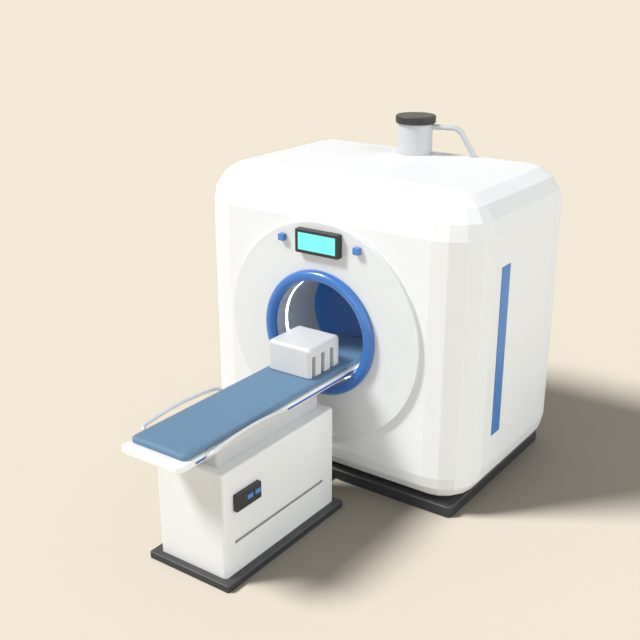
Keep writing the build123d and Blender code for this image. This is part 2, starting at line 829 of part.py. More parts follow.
# Drive rack under the tabletop, with a tooth space over the pinion's upright tooth
tooth_slope = tan(pressure)
rack_half = tooth_pitch / 4 - backlash / 2
first_tooth = pinion_y + tooth_pitch / 2
tooth_places = []
place = first_tooth + tooth_pitch * int((rack_front - first_tooth) / tooth_pitch)
while place + tooth_pitch / 2 < rack_back:
    if place - tooth_pitch / 2 > rack_front:
        tooth_places.append(place)
    place += tooth_pitch
rack_outline = [(rack_front, tabletop_bottom), (rack_front, rack_root)]
for place in tooth_places:
    rack_outline.append((place - rack_half - dedendum * tooth_slope, rack_root))
    rack_outline.append((place - rack_half + addendum * tooth_slope, rack_tip))
    rack_outline.append((place + rack_half - addendum * tooth_slope, rack_tip))
    rack_outline.append((place + rack_half + dedendum * tooth_slope, rack_root))
rack_outline += [(rack_back, rack_root), (rack_back, tabletop_bottom)]
with BuildPart() as drive_rack:
    with BuildSketch(side_plane(-gear_width / 2)):
        with BuildLine():
            Polyline(*rack_outline, close=True)
        make_face()
    extrude(amount=gear_width)
save(drive_rack, "drive_rack")

# Bearing block and geared motor either side of the pinion
with BuildPart() as pinion_bearing:
    with BuildSketch(side_plane(bearing_start, pinion_y, carriage_inner_floor)):
        Rectangle(bearing_width, pinion_height - carriage_inner_floor, align=(Align.CENTER, Align.MIN))
        with Locations((0, pinion_height - carriage_inner_floor)):
            Circle(bearing_width / 2)
            Circle(shaft_radius + fit_gap, mode=Mode.SUBTRACT)
    extrude(amount=bearing_length)
save(pinion_bearing, "pinion_bearing")

gearbox_height = tabletop_bottom - gearbox_gap - carriage_inner_floor
motor_height = carriage_inner_floor + gearbox_height / 2
with BuildPart() as drive_motor:
    with BuildSketch(Plane.XY.offset(carriage_inner_floor)):
        with Locations((gearbox_start, pinion_y)):
            RectangleRounded(gearbox_width, gearbox_length, carriage_edge, align=(Align.MIN, Align.CENTER))
    extrude(amount=gearbox_height)
    with BuildSketch(facing_plane(pinion_y - gearbox_length / 2, gearbox_start + gearbox_width / 2, motor_height)):
        Circle(motor_radius)
    extrude(amount=motor_length)
    fillet(drive_motor.faces().sort_by(Axis.Y)[0].edges(), carriage_edge)
    with BuildSketch(side_plane(gearbox_start - overrun, pinion_y, pinion_height)):
        Circle(shaft_radius + fit_gap)
    extrude(amount=shaft_end - gearbox_start + overrun + seat_gap, mode=Mode.SUBTRACT)
save(drive_motor, "drive_motor")

# Tabletop
with BuildPart() as tabletop:
    with BuildSketch(Plane.XY.offset(tabletop_bottom)):
        with Locations((0, (tabletop_front + tabletop_back) / 2)):
            RectangleRounded(tabletop_width, tabletop_length, tabletop_corner)
    extrude(amount=tabletop_thickness)
    fillet(tabletop.faces().sort_by(Axis.Z)[-1].edges(), tabletop_top_edge)
    fillet(tabletop.faces().sort_by(Axis.Z)[0].edges(), tabletop_foot_edge)
save(tabletop, "tabletop")

# Mattress
with BuildPart() as mattress:
    with BuildSketch(Plane.XY.offset(mattress_bottom)):
        with Locations((0, (mattress_front + mattress_back) / 2)):
            RectangleRounded(mattress_width, mattress_back - mattress_front, mattress_corner)
    extrude(amount=mattress_thickness)
    fillet(mattress.faces().sort_by(Axis.Z)[-1].edges(), mattress_edge)
save(mattress, "mattress")

# Accent strips on the tabletop's sides, in front of and behind each rail
strip_middle = tabletop_bottom + strip_rise + strip_height / 2
for side_name, side in (("right", 1), ("left", -1)):
    for end_name, start, end in (("front", strip_front, rail_front), ("rear", rail_back, strip_back)):
        with BuildPart() as accent_strip:
            with BuildSketch(side_plane(side * tabletop_side, (start + end) / 2, strip_middle)):
                Rectangle(end - start, strip_height)
            extrude(amount=side * strip_thickness)
        save(accent_strip, f"accent_strip_{end_name}_{side_name}")

# Side rails: a plate on the tabletop's side, and a bowed tube that curves out of it and runs along the mattress
for side_name, side in (("right", 1), ("left", -1)):
    foot_x = side * (tabletop_side + rail_plate_thickness / 2)
    with BuildPart() as side_rail:
        with BuildLine() as rail_route:
            bow = ThreePointArc(
                (side * rail_offset, rail_front + rail_lead, rail_height),
                (side * rail_offset, (rail_front + rail_back) / 2, rail_height + rail_bow),
                (side * rail_offset, rail_back - rail_lead, rail_height),
            )
            TangentArc(bow @ 0, (foot_x, rail_front + rail_foot_inset, rail_foot_height), tangent=-(bow % 0))
            TangentArc(bow @ 1, (foot_x, rail_back - rail_foot_inset, rail_foot_height), tangent=bow % 1)
        rail_wire = rail_route.wire()
        with BuildSketch(Plane(origin=rail_wire @ 0, z_dir=rail_wire % 0)):
            Circle(rail_tube_radius)
        sweep(path=rail_wire)
        with BuildSketch(side_plane(side * tabletop_side, (rail_front + rail_back) / 2, strip_middle)):
            Rectangle(rail_length, rail_plate_height)
        extrude(amount=side * rail_plate_thickness)
        split(bisect_by=Plane(origin=(side * tabletop_side, 0, 0), z_dir=(side, 0, 0)), keep=Keep.TOP)
    save(side_rail, f"side_rail_{side_name}")

# Head coil: a rounded box with three slots open at the foot of each side
coil_bottom = mattress_top + seat_gap
with BuildPart() as head_coil:
    with BuildSketch(Plane.XY.offset(coil_bottom)):
        with Locations((0, coil_mid)):
            RectangleRounded(coil_width, coil_length, coil_edge)
    extrude(amount=coil_height)
    fillet(head_coil.faces().sort_by(Axis.Z)[-1].edges(), coil_edge)
    chamfer(head_coil.faces().sort_by(Axis.Z)[0].edges(), coil_foot_edge)
    for side in (1, -1):
        for step in (-1, 0, 1):
            slot_y = coil_mid - slot_lead + step * slot_spacing
            with BuildSketch(side_plane(side * (coil_width / 2 - slot_depth), slot_y, coil_bottom - overrun)):
                Rectangle(slot_width, slot_height + overrun, align=(Align.CENTER, Align.MIN))
            extrude(amount=side * (slot_depth + overrun), mode=Mode.SUBTRACT)
save(head_coil, "head_coil")

# Control panel on the pedestal's right side, with stepped windows for its two keys
panel_outer = pedestal_side + panel_thickness
shoulder_x = pedestal_side + key_shoulder
key_first = panel_middle[0] + key_lead
key_places = (key_first, key_first + key_spacing)
key_middle = panel_middle[1] + key_rise
with BuildPart() as control_panel:
    with BuildSketch(side_plane(pedestal_side, *panel_middle)):
        RectangleRounded(panel_length, panel_height, panel_corner)
    extrude(amount=panel_thickness)
    fillet(control_panel.faces().sort_by(Axis.X)[-1].edges(), panel_edge)
    for key_y in key_places:
        with BuildSketch(side_plane(pedestal_side, key_y, key_middle)):
            Rectangle(key_width + 2 * key_gap, key_height + 2 * key_gap)
        extrude(amount=panel_thickness + overrun, mode=Mode.SUBTRACT)
        with BuildSketch(side_plane(pedestal_side - overrun, key_y, key_middle)):
            Rectangle(key_width + 2 * (key_flange + key_gap), key_height + 2 * (key_flange + key_gap))
        extrude(amount=key_shoulder + overrun, mode=Mode.SUBTRACT)
save(control_panel, "control_panel")

for key_name, key_y in zip(("first", "second"), key_places):
    flange_front = shoulder_x - seat_gap
    with BuildPart() as panel_key:
        with BuildSketch(side_plane(flange_front - key_flange_depth, key_y, key_middle)):
            Rectangle(key_width, key_height)
        extrude(amount=panel_outer + key_stand_out - flange_front + key_flange_depth)
        fillet(panel_key.faces().sort_by(Axis.X)[-1].edges(), key_edge)
        with BuildSketch(side_plane(flange_front - key_flange_depth, key_y, key_middle)):
            Rectangle(key_width + 2 * key_flange, key_height + 2 * key_flange)
        extrude(amount=key_flange_depth)
    save(panel_key, f"panel_key_{key_name}")
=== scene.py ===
# %% [markdown]
# # A hospital MRI scanner, dressed for its portrait
# The scanner was modelled as solids first: covers, bore, magnet, table and drive. This script loads those
# solids as a fixed frame and gives them what solids don't have: finishes, softened edges, a padded
# mattress, light and a camera. Everything is in metres, in the same frame as the solids, so nothing needs
# fitting.

import math

import bpy
from mathutils import Matrix, Vector, noise


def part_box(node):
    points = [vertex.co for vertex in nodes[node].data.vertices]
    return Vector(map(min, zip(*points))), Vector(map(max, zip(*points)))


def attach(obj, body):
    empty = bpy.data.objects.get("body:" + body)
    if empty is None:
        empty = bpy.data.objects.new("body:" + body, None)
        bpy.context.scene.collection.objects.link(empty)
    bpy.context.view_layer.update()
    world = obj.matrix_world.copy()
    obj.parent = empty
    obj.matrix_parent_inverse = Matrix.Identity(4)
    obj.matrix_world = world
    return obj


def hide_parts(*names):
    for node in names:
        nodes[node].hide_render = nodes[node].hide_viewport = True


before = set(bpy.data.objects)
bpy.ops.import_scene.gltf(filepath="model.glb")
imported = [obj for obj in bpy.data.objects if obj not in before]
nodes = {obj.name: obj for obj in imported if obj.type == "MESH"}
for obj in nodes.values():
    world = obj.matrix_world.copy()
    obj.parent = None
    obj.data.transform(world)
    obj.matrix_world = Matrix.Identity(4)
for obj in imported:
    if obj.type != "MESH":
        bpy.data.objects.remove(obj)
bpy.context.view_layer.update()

# %% [markdown]
# ## Camera
# The picture was taken from the front right, a little above the gantry's top, with a slightly long lens.
# The camera aims at the middle of the bore on the bezel's face. Its stand is worked out from two angles
# and a distance, which is easier to read and to correct than a bare location and rotation.

# %% Camera at the photograph's viewing angle
ISOCENTRE_HEIGHT = 1.100
BEZEL_FACE = -0.780
VIEW_AZIMUTH = math.radians(35.44)
VIEW_ELEVATION = math.radians(20.31)
VIEW_DISTANCE = 6.2404
AIM_UP = 0.0808
IMAGE_SIDE = 640
FOCAL_PIXELS = 962.05
SENSOR_WIDTH = 36.0

away = Vector(
    (
        math.sin(VIEW_AZIMUTH) * math.cos(VIEW_ELEVATION),
        -math.cos(VIEW_AZIMUTH) * math.cos(VIEW_ELEVATION),
        math.sin(VIEW_ELEVATION),
    )
)
turn = away.to_track_quat("Z", "Y")
camera_data = bpy.data.cameras.new("portrait_camera")
camera_data.sensor_width = SENSOR_WIDTH
camera_data.lens = SENSOR_WIDTH * FOCAL_PIXELS / IMAGE_SIDE
camera = bpy.data.objects.new("portrait_camera", camera_data)
camera.rotation_mode = "QUATERNION"
camera.rotation_quaternion = turn
bore_middle = Vector((0, BEZEL_FACE, ISOCENTRE_HEIGHT))
camera.location = bore_middle + away * VIEW_DISTANCE + turn @ Vector((0, AIM_UP, 0))
bpy.context.scene.collection.objects.link(camera)
bpy.context.scene.camera = camera
print("camera:", [round(x, 3) for x in camera.location], "lens", round(camera_data.lens, 1), "mm")

# %% [markdown]
# ## Floor and studio light
# The scanner stands on a wide cream floor that fills the whole picture. One large soft key comes from the
# front left and above, and throws the shadow to the right and back. A wide fill from the right reaches
# the side that the key can't, a weaker one stands low in front and a faint one hangs over the right edge.
# The fills are a little cool, against the cream light that the floor throws back.
#
# The floor has lamps of its own, a key from the same side and a wide sky, and Blender's light linking
# keeps the two sets apart. A floor that is a middle tone under strong lamps looks as pale as a pale one
# under weak lamps, but it takes up less of the light that white covers throw into its shadow, so the
# shadow keeps its depth.
#
# The world adds an even, faint room light, and shows the camera and whatever mirrors it a cream backdrop.
# Together they light a white surface to just under white, so pale covers keep their shades.

# %% Floor
FLOOR_HALF = 600.0
FLOOR_CREAM = (0.200, 0.1815, 0.149, 1.0)
FLOOR_ROUGHNESS = 0.9
FLOOR_SHINE = 0.0

floor_mesh = bpy.data.meshes.new("studio_floor")
corners = [(x * FLOOR_HALF, y * FLOOR_HALF, 0) for x, y in ((-1, -1), (1, -1), (1, 1), (-1, 1))]
floor_mesh.from_pydata(corners, [], [(0, 1, 2, 3)])
studio_floor = bpy.data.objects.new("studio_floor", floor_mesh)
bpy.context.scene.collection.objects.link(studio_floor)
floor_paint = bpy.data.materials.new("studio_floor_cream")
floor_paint.use_nodes = True
floor_shader = floor_paint.node_tree.nodes["Principled BSDF"]
floor_shader.inputs["Base Color"].default_value = FLOOR_CREAM
floor_shader.inputs["Roughness"].default_value = FLOOR_ROUGHNESS
floor_shader.inputs["Specular IOR Level"].default_value = FLOOR_SHINE
floor_mesh.materials.append(floor_paint)
print("floor:", 2 * FLOOR_HALF, "m wide")

# %% Lamps
WHITE_LIGHT = (1.0, 1.0, 1.0)
COOL_LIGHT = (0.93, 0.97, 1.0)
KEY_FROM = (-0.755, -0.656, 1.11)
SCANNER_LAMPS = {
    "key": (KEY_FROM, 3.35, 15, WHITE_LIGHT),
    "side_fill": ((1.0, 0.15, 0.4), 1.78, 60, COOL_LIGHT),
    "front_fill": ((0.2, -1.0, 0.05), 1.15, 60, COOL_LIGHT),
    "sky_fill": ((0.6, -0.1, 0.8), 0.2, 120, COOL_LIGHT),
}
FLOOR_LAMPS = {
    "floor_key": (KEY_FROM, 14.1, 15, WHITE_LIGHT),
    "floor_sky": ((0.0, 0.0, 1.0), 3.2, 150, WHITE_LIGHT),
}


def hang_lamps(lamps, rule_name, floor_state):
    """Distant lamps, each from a direction, with a strength, a softness in degrees and a colour."""
    floor_rule = bpy.data.collections.new(rule_name)
    floor_rule.objects.link(studio_floor)
    floor_rule.collection_objects[0].light_linking.link_state = floor_state
    for name, (comes_from, strength, softness, colour) in lamps.items():
        lamp_data = bpy.data.lights.new(name, "SUN")
        lamp_data.energy = strength
        lamp_data.color = colour
        lamp_data.angle = math.radians(softness)
        lamp = bpy.data.objects.new(name, lamp_data)
        lamp.rotation_mode = "QUATERNION"
        lamp.rotation_quaternion = Vector(comes_from).to_track_quat("Z", "Y")
        lamp.light_linking.receiver_collection = floor_rule
        bpy.context.scene.collection.objects.link(lamp)
        print("lamp:", name, "strength", strength)


hang_lamps(SCANNER_LAMPS, "all_but_the_floor", "EXCLUDE")
hang_lamps(FLOOR_LAMPS, "the_floor_alone", "INCLUDE")

# %% World: a faint even room, seen as a cream backdrop
ROOM_COLOUR = (0.95, 0.97, 1.0, 1.0)
ROOM_STRENGTH = 0.17
BACKDROP_CREAM = (0.893, 0.812, 0.670, 1.0)

room = bpy.data.worlds.new("room")
room.use_nodes = True
wiring = room.node_tree
even = wiring.nodes["Background"]
even.inputs["Color"].default_value = ROOM_COLOUR
even.inputs["Strength"].default_value = ROOM_STRENGTH
backdrop = wiring.nodes.new("ShaderNodeBackground")
backdrop.inputs["Color"].default_value = BACKDROP_CREAM
rays = wiring.nodes.new("ShaderNodeLightPath")
seen = rays.outputs["Is Camera Ray"]
for also in ("Is Glossy Ray", "Is Transmission Ray"):
    either = wiring.nodes.new("ShaderNodeMath")
    either.operation = "MAXIMUM"
    wiring.links.new(seen, either.inputs[0])
    wiring.links.new(rays.outputs[also], either.inputs[1])
    seen = either.outputs[0]
blend = wiring.nodes.new("ShaderNodeMixShader")
wiring.links.new(seen, blend.inputs["Fac"])
wiring.links.new(even.outputs[0], blend.inputs[1])
wiring.links.new(backdrop.outputs[0], blend.inputs[2])
wiring.links.new(blend.outputs[0], wiring.nodes["World Output"].inputs["Surface"])
bpy.context.scene.world = room
bpy.context.scene.view_settings.view_transform = "Standard"
print("room light", ROOM_STRENGTH, "behind a cream backdrop")

# %% [markdown]
# ## Shared effects
# Several finishes need the same small effects: a fine moulded grain, a slow drift of tone, a rub along
# edges and dust that settles on what faces up. Each is one shader node group with named inputs, built
# once and placed in a material with its own values. The groups put out only colours, masks, heights and
# roughness. The shader itself stays in each material.

# %% Helpers that build node groups
NUMBER = "NodeSocketFloat"
COLOUR = "NodeSocketColor"
MIX_FIRST, MIX_SECOND, MIX_RESULT = 6, 7, 2
NOISE_MIDDLE = 0.5


def open_group(name, inputs, outputs):
    """A new shader group with its sockets, and its node tree's two ends."""
    tree = bpy.data.node_groups.new(name, "ShaderNodeTree")
    for label, kind, default in inputs:
        socket = tree.interface.new_socket(label, in_out="INPUT", socket_type=kind)
        socket.default_value = default
    for label, kind in outputs:
        tree.interface.new_socket(label, in_out="OUTPUT", socket_type=kind)
    print("group:", name)
    return tree, tree.nodes.new("NodeGroupInput"), tree.nodes.new("NodeGroupOutput")


def feed(tree, socket, value):
    """Link another socket to this one, or give it a plain value."""
    if isinstance(value, bpy.types.NodeSocket):
        tree.links.new(value, socket)
    else:
        socket.default_value = value


def add_math(tree, operation, first, second):
    """A math node; each operand is a socket or a number."""
    node = tree.nodes.new("ShaderNodeMath")
    node.operation = operation
    feed(tree, node.inputs[0], first)
    feed(tree, node.inputs[1], second)
    return node.outputs[0]


def add_noise(tree, vector, scale, detail):
    """A noise texture on a position; the scale is a socket or a number."""
    node = tree.nodes.new("ShaderNodeTexNoise")
    node.inputs["Detail"].default_value = detail
    feed(tree, node.inputs["Vector"], vector)
    feed(tree, node.inputs["Scale"], scale)
    return node.outputs["Fac"]


def add_colour_mix(tree, factor, first, second):
    """A colour mix. Its sockets go by number, because a Mix node has one of each name for every kind."""
    node = tree.nodes.new("ShaderNodeMix")
    node.data_type = "RGBA"
    feed(tree, node.inputs["Factor"], factor)
    feed(tree, node.inputs[MIX_FIRST], first)
    feed(tree, node.inputs[MIX_SECOND], second)
    return node.outputs[MIX_RESULT]


# %% Moulded grain: fine height, and gloss that drifts slowly
GRAIN_DETAIL = 2.0
GLOSS_PER_METRE = 2.3
GLOSS_DETAIL = 3.0

grain, ends_in, ends_out = open_group(
    "moulded_grain",
    [
        ("Grain Per Metre", NUMBER, 700.0),
        ("Roughness", NUMBER, 0.4),
        ("Roughness Spread", NUMBER, 0.1),
    ],
    [("Height", NUMBER), ("Roughness", NUMBER)],
)
place = grain.nodes.new("ShaderNodeTexCoord").outputs["Object"]
spread = ends_in.outputs["Roughness Spread"]
fine = add_noise(grain, place, ends_in.outputs["Grain Per Metre"], GRAIN_DETAIL)
slow = add_noise(grain, place, GLOSS_PER_METRE, GLOSS_DETAIL)
swing = add_math(grain, "MULTIPLY", add_math(grain, "SUBTRACT", slow, NOISE_MIDDLE), spread)
speck = add_math(grain, "MULTIPLY", add_math(grain, "SUBTRACT", fine, NOISE_MIDDLE), spread)
gloss = add_math(grain, "ADD", add_math(grain, "ADD", swing, speck), ends_in.outputs["Roughness"])
grain.links.new(fine, ends_out.inputs["Height"])
grain.links.new(gloss, ends_out.inputs["Roughness"])

# %% Tone drift: a colour that is never quite the same across a large moulding
DRIFT_DETAIL = 4.0

drift, ends_in, ends_out = open_group(
    "tone_drift",
    [("Color", COLOUR, (0.8, 0.8, 0.8, 1.0)), ("Per Metre", NUMBER, 1.6), ("Amount", NUMBER, 0.03)],
    [("Color", COLOUR)],
)
place = drift.nodes.new("ShaderNodeTexCoord").outputs["Object"]
cloud = add_noise(drift, place, ends_in.outputs["Per Metre"], DRIFT_DETAIL)
off_middle = add_math(drift, "SUBTRACT", cloud, NOISE_MIDDLE)
swing = add_math(drift, "MULTIPLY", off_middle, ends_in.outputs["Amount"])
shade = drift.nodes.new("ShaderNodeHueSaturation")
drift.links.new(add_math(drift, "ADD", swing, 1.0), shade.inputs["Value"])
drift.links.new(ends_in.outputs["Color"], shade.inputs["Color"])
drift.links.new(shade.outputs["Color"], ends_out.inputs["Color"])

# %% Edge rub: where a bevelled normal leaves the true one, a hand or a trolley has touched
RUB_SAMPLES = 4
RUB_GAIN = 6.0
RUB_PER_METRE = 14.0
RUB_DETAIL = 5.0

rub, ends_in, ends_out = open_group(
    "edge_rub",
    [
        ("Color", COLOUR, (0.8, 0.8, 0.8, 1.0)),
        ("Rubbed", COLOUR, (0.6, 0.6, 0.6, 1.0)),
        ("Reach", NUMBER, 0.004),
        ("Amount", NUMBER, 0.5),
    ],
    [("Color", COLOUR), ("Mask", NUMBER)],
)
rounded = rub.nodes.new("ShaderNodeBevel")
rounded.samples = RUB_SAMPLES
rub.links.new(ends_in.outputs["Reach"], rounded.inputs["Radius"])
flat = rub.nodes.new("ShaderNodeNewGeometry")
lean = rub.nodes.new("ShaderNodeVectorMath")
lean.operation = "DOT_PRODUCT"
rub.links.new(rounded.outputs["Normal"], lean.inputs[0])
rub.links.new(flat.outputs["Normal"], lean.inputs[1])
turned = add_math(rub, "SUBTRACT", 1.0, lean.outputs["Value"])
place = rub.nodes.new("ShaderNodeTexCoord").outputs["Object"]
patch = add_noise(rub, place, RUB_PER_METRE, RUB_DETAIL)
worn = add_math(rub, "MULTIPLY", add_math(rub, "MULTIPLY", turned, RUB_GAIN), patch)
worn = add_math(rub, "MINIMUM", add_math(rub, "MULTIPLY", worn, ends_in.outputs["Amount"]), 1.0)
mixed = add_colour_mix(rub, worn, ends_in.outputs["Color"], ends_in.outputs["Rubbed"])
rub.links.new(mixed, ends_out.inputs["Color"])
rub.links.new(worn, ends_out.inputs["Mask"])

# %% Settled dust: a thin pale film on what faces up
DUST_PER_METRE = 9.0
DUST_DETAIL = 6.0

dust, ends_in, ends_out = open_group(
    "settled_dust",
    [
        ("Color", COLOUR, (0.05, 0.05, 0.05, 1.0)),
        ("Dust", COLOUR, (0.45, 0.42, 0.37, 1.0)),
        ("Amount", NUMBER, 0.2),
    ],
    [("Color", COLOUR), ("Mask", NUMBER)],
)
facing = dust.nodes.new("ShaderNodeSeparateXYZ")
dust.links.new(dust.nodes.new("ShaderNodeNewGeometry").outputs["Normal"], facing.inputs[0])
upward = add_math(dust, "MAXIMUM", facing.outputs["Z"], 0.0)
place = dust.nodes.new("ShaderNodeTexCoord").outputs["Object"]
drifted = add_noise(dust, place, DUST_PER_METRE, DUST_DETAIL)
film = add_math(dust, "MULTIPLY", add_math(dust, "MULTIPLY", upward, drifted), ends_in.outputs["Amount"])
mixed = add_colour_mix(dust, film, ends_in.outputs["Color"], ends_in.outputs["Dust"])
dust.links.new(mixed, ends_out.inputs["Color"])
dust.links.new(film, ends_out.inputs["Mask"])

# %% [markdown]
# ## Finishes
# Each finish is one material. A short helper opens a material with a Principled shader and one moulded
# grain that feeds its roughness and a faint bump, because nearly every surface here is moulded plastic or
# paint. A Bevel node below the bump rounds the light on small edges. What differs from finish to finish
# is then a few lines: colour, gloss, and which shared effects lie over it.

# %% Helpers that make and apply a finish
def place_group(tree, group, values):
    """One of the shared effects in a material, with its own values."""
    node = tree.nodes.new("ShaderNodeGroup")
    node.node_tree = group
    for label, value in values.items():
        node.inputs[label].default_value = value
    return node


def open_finish(name, roughness, spread=0.1, per_metre=700.0, bump=0.05, depth=0.0004, edge=0.002):
    """A material with a grained Principled shader. Returns the material, its tree and the shader."""
    material = bpy.data.materials.new(name)
    material.use_nodes = True
    tree = material.node_tree
    shader = tree.nodes["Principled BSDF"]
    skin = place_group(
        tree,
        grain,
        {"Grain Per Metre": per_metre, "Roughness": roughness, "Roughness Spread": spread},
    )
    relief = tree.nodes.new("ShaderNodeBump")
    relief.inputs["Strength"].default_value = bump
    relief.inputs["Distance"].default_value = depth
    rounded = tree.nodes.new("ShaderNodeBevel")
    rounded.inputs["Radius"].default_value = edge
    tree.links.new(rounded.outputs["Normal"], relief.inputs["Normal"])
    tree.links.new(skin.outputs["Height"], relief.inputs["Height"])
    tree.links.new(skin.outputs["Roughness"], shader.inputs["Roughness"])
    tree.links.new(relief.outputs["Normal"], shader.inputs["Normal"])
    return material, tree, shader


def tinted(colour):
    """A colour with full alpha."""
    return (*colour, 1.0)


def coloured(tree, shader, colour, amount=0.03, rubbed=None, reach=0.004, rub_amount=0.5, dusty=0.0):
    """Feed the base colour: tone drift, then a rub along edges, then dust, as far as they are wanted."""
    node = place_group(tree, drift, {"Color": tinted(colour), "Amount": amount})
    if rubbed is not None:
        over = place_group(tree, rub, {"Rubbed": tinted(rubbed), "Reach": reach, "Amount": rub_amount})
        tree.links.new(node.outputs["Color"], over.inputs["Color"])
        node = over
    if dusty:
        over = place_group(tree, dust, {"Amount": dusty})
        tree.links.new(node.outputs["Color"], over.inputs["Color"])
        node = over
    tree.links.new(node.outputs["Color"], shader.inputs["Base Color"])


def dress(material, *names):
    """Give the named solids this finish."""
    for name in names:
        nodes[name].data.materials.clear()
        nodes[name].data.materials.append(material)
    print(material.name, "on", ", ".join(names))


# %% [markdown]
# ### White covers
# The covers are large satin mouldings in a plain white, a little rubbed along their edges. Their shine is
# turned down, because a pale backdrop mirrored in a pale cover would bleach it.

# %% Covers and pedestal
COVER_WHITE = (0.785, 0.795, 0.80)
COVER_SHINE = 0.2

cover_paint, tree, shader = open_finish("cover_white", 0.42, spread=0.08, per_metre=520.0, bump=0.03)
coloured(tree, shader, COVER_WHITE, amount=0.02, rubbed=(0.74, 0.74, 0.72), rub_amount=0.4)
shader.inputs["Specular IOR Level"].default_value = COVER_SHINE
dress(cover_paint, "front_cover", "rear_cover", "left_cover", "right_cover", "top_cover")

pedestal_paint, tree, shader = open_finish("pedestal_white", 0.40, spread=0.1, per_metre=520.0, bump=0.03)
coloured(tree, shader, (0.745, 0.75, 0.745), amount=0.025, rubbed=(0.62, 0.62, 0.61), rub_amount=0.5)
dress(pedestal_paint, "pedestal_cover")

# %% [markdown]
# ### The pedestal's groove and its painted shade
# A groove runs along both sides of the pedestal. Its shape is in the solid. The grey inside it is painted
# shade, darker than the light alone leaves so shallow a groove, and the solid's one material has to know
# where it goes. So the material picks out what lies between two heights, a little inside the pedestal's
# sides and short of its ends.

# %% Painted shade inside the groove
GROOVE_MIDDLE = 0.248
GROOVE_HALF = 0.0115
GROOVE_INSIDE = 0.001
GROOVE_ENDS = 0.03
GROOVE_SHADE_GREY = (0.36, 0.362, 0.36)

pedestal_low, pedestal_high = (Vector(corner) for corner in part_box("pedestal_cover"))
pedestal_mid = (pedestal_low + pedestal_high) / 2
tree = pedestal_paint.node_tree
spot = tree.nodes.new("ShaderNodeSeparateXYZ")
tree.links.new(tree.nodes.new("ShaderNodeTexCoord").outputs["Object"], spot.inputs[0])
limits = {
    "X": (pedestal_mid.x, pedestal_high.x - pedestal_mid.x - GROOVE_INSIDE),
    "Y": (pedestal_mid.y, pedestal_high.y - pedestal_mid.y - GROOVE_ENDS),
    "Z": (GROOVE_MIDDLE, GROOVE_HALF),
}
# Painted shade: the grey goes where the groove's shadow falls, between two heights, inside the sides and
# short of the ends.
groove_shade_mask = 1.0
for label, (middle, reach) in limits.items():
    off = add_math(tree, "ABSOLUTE", add_math(tree, "SUBTRACT", spot.outputs[label], middle), 0.0)
    groove_shade_mask = add_math(tree, "MULTIPLY", add_math(tree, "LESS_THAN", off, reach), groove_shade_mask)
base_colour = tree.nodes["Principled BSDF"].inputs["Base Color"]
white = base_colour.links[0].from_socket
tree.links.new(add_colour_mix(tree, groove_shade_mask, white, tinted(GROOVE_SHADE_GREY)), base_colour)
# The grey printed here is painted shade.
print("groove lined in grey between", GROOVE_MIDDLE - GROOVE_HALF, "and", GROOVE_MIDDLE + GROOVE_HALF, "m")

# %% [markdown]
# ### Bezels and the table's pale pieces
# The bezel discs have a fine matt texture and are a touch greyer than the covers, which is what sets the
# round face off from the housing. The tabletop is smoother. Carriage, rails and head coil go down to
# light greys.

# %% Bezels, tabletop, carriage, rails and head coil
RAIL_METALLIC = 0.1

bezel_paint, tree, shader = open_finish("bezel_white", 0.55, spread=0.1, per_metre=900.0, bump=0.12)
coloured(tree, shader, (0.72, 0.738, 0.738), amount=0.02)
dress(bezel_paint, "front_bezel", "rear_bezel")

top_paint, tree, shader = open_finish("top_white", 0.33, spread=0.12, per_metre=450.0, bump=0.02)
coloured(tree, shader, (0.83, 0.84, 0.84), amount=0.02, rubbed=(0.68, 0.68, 0.67))
dress(top_paint, "tabletop")

carriage_paint, tree, shader = open_finish("carriage_white", 0.36, per_metre=380.0, bump=0.06)
coloured(tree, shader, (0.52, 0.53, 0.54), amount=0.03, rubbed=(0.45, 0.46, 0.47))
dress(carriage_paint, "carriage")

rail_paint, tree, shader = open_finish("rail_grey", 0.28, spread=0.12, per_metre=300.0, bump=0.03)
coloured(tree, shader, (0.62, 0.62, 0.635), amount=0.03)
shader.inputs["Metallic"].default_value = RAIL_METALLIC
dress(rail_paint, "side_rail_right", "side_rail_left")

coil_shell, tree, shader = open_finish("coil_white", 0.38, per_metre=600.0, bump=0.05)
coloured(tree, shader, (0.65, 0.655, 0.655), amount=0.02, rubbed=(0.58, 0.58, 0.58))
dress(coil_shell, "head_coil")

# %% [markdown]
# ### Blue accents
# The ring, stripes, strips, buttons and keys share one family of blues. All are smooth satin plastic. The
# ring has a clear lacquer that gives the bright line along its upper edge.

# %% Blue plastics
RING_LACQUER = 0.4
RING_LACQUER_ROUGHNESS = 0.12

ring_blue, tree, shader = open_finish("ring_blue", 0.30, spread=0.08, per_metre=350.0, bump=0.02)
coloured(tree, shader, (0.033, 0.16, 0.49), amount=0.06)
shader.inputs["Coat Weight"].default_value = RING_LACQUER
shader.inputs["Coat Roughness"].default_value = RING_LACQUER_ROUGHNESS
dress(ring_blue, "bore_ring")

stripe_blue, tree, shader = open_finish("stripe_blue", 0.36, per_metre=420.0, bump=0.03)
coloured(tree, shader, (0.055, 0.195, 0.50), amount=0.05, rubbed=(0.2, 0.3, 0.5))
dress(stripe_blue, "side_stripe_right", "side_stripe_left")

accent_blue, tree, shader = open_finish("accent_blue", 0.34, per_metre=420.0, bump=0.03)
coloured(tree, shader, (0.045, 0.125, 0.42), amount=0.05)
dress(
    accent_blue,
    "accent_strip_front_right",
    "accent_strip_front_left",
    "accent_strip_rear_right",
    "accent_strip_rear_left",
)

button_blue, tree, shader = open_finish("button_blue", 0.32, per_metre=900.0, bump=0.05)
coloured(tree, shader, (0.07, 0.22, 0.56), amount=0.04, rubbed=(0.25, 0.38, 0.62), reach=0.002)
dress(button_blue, "gantry_button_right", "gantry_button_left", "panel_key_first", "panel_key_second")

# %% [markdown]
# ### Inside the bore
# The bore's mouth is lined in pale grey, with a lit ring let in near the front. Behind it the bore turns
# dark blue. The lit ring is an opal diffuser, so its shader glows, a little unevenly along its length.

# %% Bore lining and lit ring
RING_GLOW = (0.92, 0.97, 1.0)
RING_GLOW_STRENGTH = 5.5

